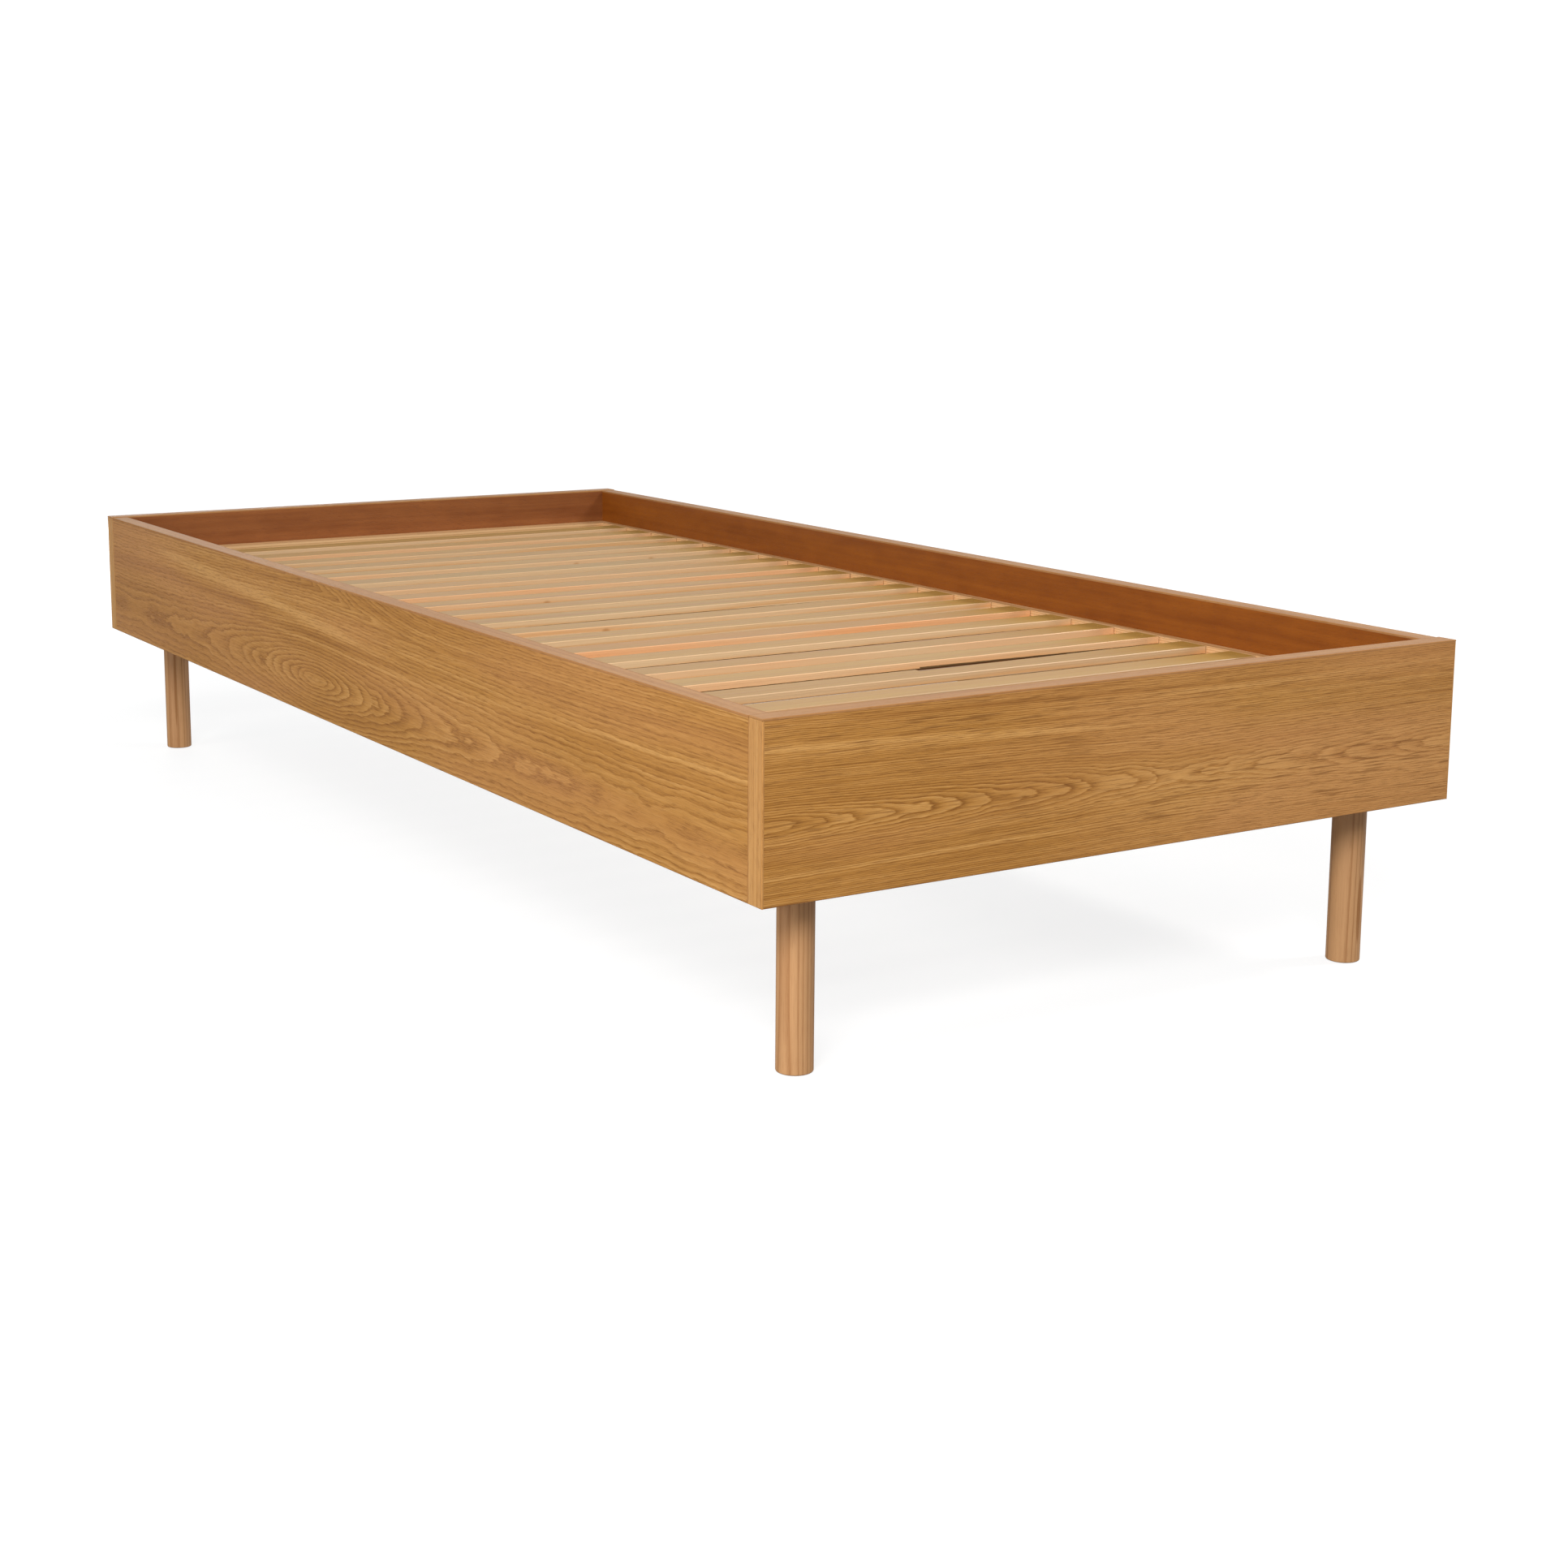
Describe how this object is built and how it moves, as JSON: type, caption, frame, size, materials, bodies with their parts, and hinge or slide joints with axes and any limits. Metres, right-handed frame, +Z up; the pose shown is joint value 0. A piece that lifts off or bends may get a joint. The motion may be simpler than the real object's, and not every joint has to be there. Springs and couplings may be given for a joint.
{
  "type": "bed frame",
  "caption": "Low single bed frame: oak-veneered boards form an open box on round wooden legs, with straight softwood slats inside to carry a mattress.",
  "frame": {"origin": "on the floor, under the middle of the frame", "axes": "+Z up; +Y along the bed towards the head end; +X towards the right-hand side seen from the foot end"},
  "size_m": [0.955, 2.055, 0.39],
  "materials": {
    "oak_veneer": "satin clear lacquer over horizontal oak veneer; the inner faces are a plainer, redder veneer",
    "oak_lipping": "satin clear lacquer on solid strip",
    "pine_rail": "planed softwood, clear lacquer",
    "pine_slat": "planed softwood, semi-gloss clear lacquer",
    "leg_wood": "turned solid wood, satin clear lacquer",
    "block_wood": "planed softwood, bare",
    "zinc_steel": "bright zinc plate"
  },
  "bodies": {
    "root": {"end_panel_foot": "oak_veneer", "end_panel_foot_top_lipping": "oak_lipping", "end_panel_foot_end_lipping_left": "oak_lipping", "end_panel_foot_end_lipping_right": "oak_lipping", "end_panel_head": "oak_veneer", "end_panel_head_top_lipping": "oak_lipping", "end_panel_head_end_lipping_left": "oak_lipping", "end_panel_head_end_lipping_right": "oak_lipping", "side_panel_left": "oak_veneer", "side_panel_left_top_lipping": "oak_lipping", "side_panel_right": "oak_veneer", "side_panel_right_top_lipping": "oak_lipping", "slat_rail_foot": "pine_rail", "slat_rail_head": "pine_rail", "slat_rail_left": "pine_rail", "slat_rail_right": "pine_rail", "slat_01": "pine_slat", "slat_02": "pine_slat", "slat_03": "pine_slat", "slat_04": "pine_slat", "slat_05": "pine_slat", "slat_06": "pine_slat", "slat_07": "pine_slat", "slat_08": "pine_slat", "slat_09": "pine_slat", "slat_10": "pine_slat", "slat_11": "pine_slat", "slat_12": "pine_slat", "slat_13": "pine_slat", "slat_14": "pine_slat", "slat_15": "pine_slat", "slat_16": "pine_slat", "slat_17": "pine_slat", "slat_18": "pine_slat", "slat_19": "pine_slat", "slat_20": "pine_slat", "slat_21": "pine_slat", "corner_block_foot_left": "block_wood", "leg_foot_left": "leg_wood", "leg_bolt_foot_left": "zinc_steel", "leg_insert_foot_left": "zinc_steel", "corner_bolt_foot_left": "zinc_steel", "corner_block_foot_right": "block_wood", "leg_foot_right": "leg_wood", "leg_bolt_foot_right": "zinc_steel", "leg_insert_foot_right": "zinc_steel", "corner_bolt_foot_right": "zinc_steel", "corner_block_head_left": "block_wood", "leg_head_left": "leg_wood", "leg_bolt_head_left": "zinc_steel", "leg_insert_head_left": "zinc_steel", "corner_bolt_head_left": "zinc_steel", "corner_block_head_right": "block_wood", "leg_head_right": "leg_wood", "leg_bolt_head_right": "zinc_steel", "leg_insert_head_right": "zinc_steel", "corner_bolt_head_right": "zinc_steel"}
  },
  "joints": []
}
